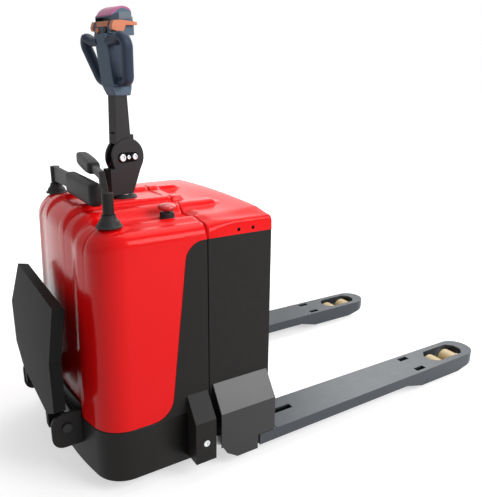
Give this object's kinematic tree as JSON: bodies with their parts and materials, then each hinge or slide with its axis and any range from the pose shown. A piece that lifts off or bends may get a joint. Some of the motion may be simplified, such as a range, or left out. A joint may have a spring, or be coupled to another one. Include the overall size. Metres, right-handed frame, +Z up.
{
  "type": "electric pallet truck",
  "caption": "Electric rider pallet truck with long forks on load rollers, a red drive housing, a tiller, a folding platform and folding side arms.",
  "frame": {"origin": "centre of the base: the middle of the bounding box, on the floor", "axes": "+X towards the fork tips, +Y to the left of a rider who looks along the forks, +Z up"},
  "size_m": [1.786, 0.85, 1.437],
  "materials": {
    "red_paint": "gloss",
    "black_panel": "satin",
    "fork_paint": "satin",
    "bright_steel": "satin",
    "cast_grey": "matte",
    "black_rubber": "matte",
    "drive_tyre": "matte",
    "cream_tread": "satin",
    "orange_plastic": "satin",
    "magenta_plastic": "satin",
    "head_plastic": "satin",
    "black_plastic": "satin",
    "stop_red": "gloss",
    "zinc_steel": "satin",
    "alloy": "satin",
    "battery_case": "matte"
  },
  "bodies": {
    "chassis": {"chassis_plate": "black_panel", "chassis_frame": "black_panel", "chassis_uprights": "black_panel", "base_skirt": "black_panel", "cowl_hood": "red_paint", "cowl_front": "red_paint", "side_panels": "black_panel", "link_housings": "black_panel", "link_pivot_bolts": "bright_steel", "stop_switch_base": "black_plastic", "platform_bracket": "black_panel", "platform_hinge_pin": "bright_steel", "arm_posts": "bright_steel", "arm_boots": "black_rubber", "hydraulic_tank": "zinc_steel", "pump_motor": "cast_grey", "lift_cylinders": "zinc_steel", "motor_controller": "alloy", "steer_bearing": "bright_steel"},
    "drive_unit": {"drive_gearbox": "cast_grey", "traction_motor": "cast_grey", "motor_brake": "zinc_steel", "steer_column": "bright_steel", "tiller_base": "black_plastic", "tiller_pivot_bolts": "bright_steel"},
    "drive_wheel": {"drive_wheel_hub": "cast_grey", "drive_wheel_tyre": "drive_tyre"},
    "tiller": {"tiller_arm": "black_plastic", "tiller_head": "head_plastic", "handle_bows": "black_rubber"},
    "belly_button": {"belly_button": "magenta_plastic"},
    "thumb_control": {"thumb_control": "orange_plastic"},
    "lift_button": {"lift_button": "orange_plastic"},
    "lower_button": {"lower_button": "black_plastic"},
    "stop_knob": {"stop_knob": "stop_red"},
    "fork_carriage": {"fork_carriage": "black_panel", "battery": "battery_case", "lift_rods": "bright_steel", "fork_covers": "black_panel", "right_fork": "fork_paint", "left_fork": "fork_paint"},
    "battery_cover": {"battery_cover": "red_paint"},
    "side_arm_right": {"side_arm_right": "black_panel", "arm_pad_right": "black_rubber"},
    "side_arm_left": {"side_arm_left": "black_panel", "arm_pad_left": "black_rubber"},
    "platform": {"platform_tray": "black_panel", "platform_mat": "black_rubber"},
    "castor_yoke_right": {"castor_yoke_right": "zinc_steel"},
    "castor_yoke_left": {"castor_yoke_left": "zinc_steel"},
    "castor_wheel_right": {"castor_wheel_right": "black_rubber"},
    "castor_wheel_left": {"castor_wheel_left": "black_rubber"},
    "lift_rocker": {"lift_rocker": "zinc_steel"},
    "push_rods": {"push_rods": "zinc_steel"},
    "wheel_arms": {"wheel_arms": "zinc_steel"},
    "bogies": {"bogies": "zinc_steel"},
    "front_roller_right": {"front_roller_right": "cream_tread"},
    "front_roller_left": {"front_roller_left": "cream_tread"},
    "rear_roller_right": {"rear_roller_right": "cream_tread"},
    "rear_roller_left": {"rear_roller_left": "cream_tread"}
  },
  "joints": [
    {"name": "lift", "type": "slide", "parent": "chassis", "child": "fork_carriage", "axis": [0, 0, 1], "range_m": [0, 0.115]},
    {"name": "steer", "type": "hinge", "parent": "chassis", "child": "drive_unit", "pos_m": [-0.547, 0, 0.3], "axis": [0, 0, 1], "range_deg": [-105, 75]},
    {"name": "drive_wheel_spin", "type": "hinge", "parent": "drive_unit", "child": "drive_wheel", "pos_m": [-0.547, 0, 0.105], "axis": [-0.2588, 0.9659, 0], "continuous": true},
    {"name": "tiller_tilt", "type": "hinge", "parent": "drive_unit", "child": "tiller", "pos_m": [-0.53734, 0.00259, 0.984], "axis": [0.2588, -0.9659, 0], "range_deg": [0, 52], "stiffness_Nm_per_rad": 30, "springref_deg": -20.05},
    {"name": "belly_press", "type": "slide", "parent": "tiller", "child": "belly_button", "axis": [0, 0, -1], "range_m": [0, 0.0075], "stiffness_N_per_m": 800, "springref_m": -0.004},
    {"name": "thumb_turn", "type": "hinge", "parent": "tiller", "child": "thumb_control", "pos_m": [-0.56052, -0.00362, 1.378], "axis": [-0.2588, 0.9659, 0], "range_deg": [-25, 25], "stiffness_Nm_per_rad": 0.6},
    {"name": "lift_press", "type": "slide", "parent": "tiller", "child": "lift_button", "axis": [0.9659, 0.2588, 0], "range_m": [0, 0.003], "stiffness_N_per_m": 600, "springref_m": -0.002},
    {"name": "lower_press", "type": "slide", "parent": "tiller", "child": "lower_button", "axis": [0.9659, 0.2588, 0], "range_m": [0, 0.003], "stiffness_N_per_m": 600, "springref_m": -0.002},
    {"name": "stop_press", "type": "slide", "parent": "chassis", "child": "stop_knob", "axis": [0, 0, -1], "range_m": [0, 0.004]},
    {"name": "cover_open", "type": "hinge", "parent": "fork_carriage", "child": "battery_cover", "pos_m": [-0.193, 0, 0.79], "axis": [0, 1, 0], "range_deg": [0, 80]},
    {"name": "right_arm_swing", "type": "hinge", "parent": "chassis", "child": "side_arm_right", "pos_m": [-0.697, -0.285, 0.9], "axis": [0, 0, 1], "range_deg": [0, 98]},
    {"name": "left_arm_swing", "type": "hinge", "parent": "chassis", "child": "side_arm_left", "pos_m": [-0.697, 0.285, 0.9], "axis": [0, 0, -1], "range_deg": [0, 90]},
    {"name": "platform_fold", "type": "hinge", "parent": "chassis", "child": "platform", "pos_m": [-0.846, 0, 0.196], "axis": [0, -1, 0], "range_deg": [0, 86], "stiffness_Nm_per_rad": 25, "springref_deg": -34.38},
    {"name": "castor_swivel_right", "type": "hinge", "parent": "chassis", "child": "castor_yoke_right", "pos_m": [-0.632, -0.255, 0.15], "axis": [0, 0, 1], "continuous": true},
    {"name": "castor_spin_right", "type": "hinge", "parent": "castor_yoke_right", "child": "castor_wheel_right", "pos_m": [-0.597, -0.255, 0.0575], "axis": [0, 1, 0], "continuous": true},
    {"name": "castor_swivel_left", "type": "hinge", "parent": "chassis", "child": "castor_yoke_left", "pos_m": [-0.632, 0.255, 0.15], "axis": [0, 0, 1], "continuous": true},
    {"name": "castor_spin_left", "type": "hinge", "parent": "castor_yoke_left", "child": "castor_wheel_left", "pos_m": [-0.597, 0.255, 0.0575], "axis": [0, 1, 0], "continuous": true},
    {"name": "rocker_turn", "type": "hinge", "parent": "fork_carriage", "child": "lift_rocker", "pos_m": [-0.32, 0, 0.0705], "axis": [0, 1, 0], "range_deg": [-42.19, 0]},
    {"name": "rod_push", "type": "slide", "parent": "fork_carriage", "child": "push_rods", "axis": [1, 0, 0], "range_m": [0, 0.02023]},
    {"name": "wheel_arm_turn", "type": "hinge", "parent": "fork_carriage", "child": "wheel_arms", "pos_m": [0.56, 0, 0.042], "axis": [0, 1, 0], "range_deg": [0, 40.68]},
    {"name": "bogie_turn", "type": "hinge", "parent": "wheel_arms", "child": "bogies", "pos_m": [0.739, 0, 0.04], "axis": [0, 1, 0], "range_deg": [-40.68, 0]},
    {"name": "front_roller_spin_right", "type": "hinge", "parent": "bogies", "child": "front_roller_right", "pos_m": [0.789, -0.3475, 0.04], "axis": [0, 1, 0], "continuous": true},
    {"name": "front_roller_spin_left", "type": "hinge", "parent": "bogies", "child": "front_roller_left", "pos_m": [0.789, 0.3475, 0.04], "axis": [0, 1, 0], "continuous": true},
    {"name": "rear_roller_spin_right", "type": "hinge", "parent": "bogies", "child": "rear_roller_right", "pos_m": [0.689, -0.3475, 0.04], "axis": [0, 1, 0], "continuous": true},
    {"name": "rear_roller_spin_left", "type": "hinge", "parent": "bogies", "child": "rear_roller_left", "pos_m": [0.689, 0.3475, 0.04], "axis": [0, 1, 0], "continuous": true}
  ],
  "couplings": [
    {"joint": "rocker_turn", "follows": "lift", "rad_per_m": -6.3277},
    {"joint": "rod_push", "follows": "lift", "ratio": 0.17329},
    {"joint": "wheel_arm_turn", "follows": "lift", "rad_per_m": 6.0974},
    {"joint": "bogie_turn", "follows": "lift", "rad_per_m": -6.0974}
  ]
}
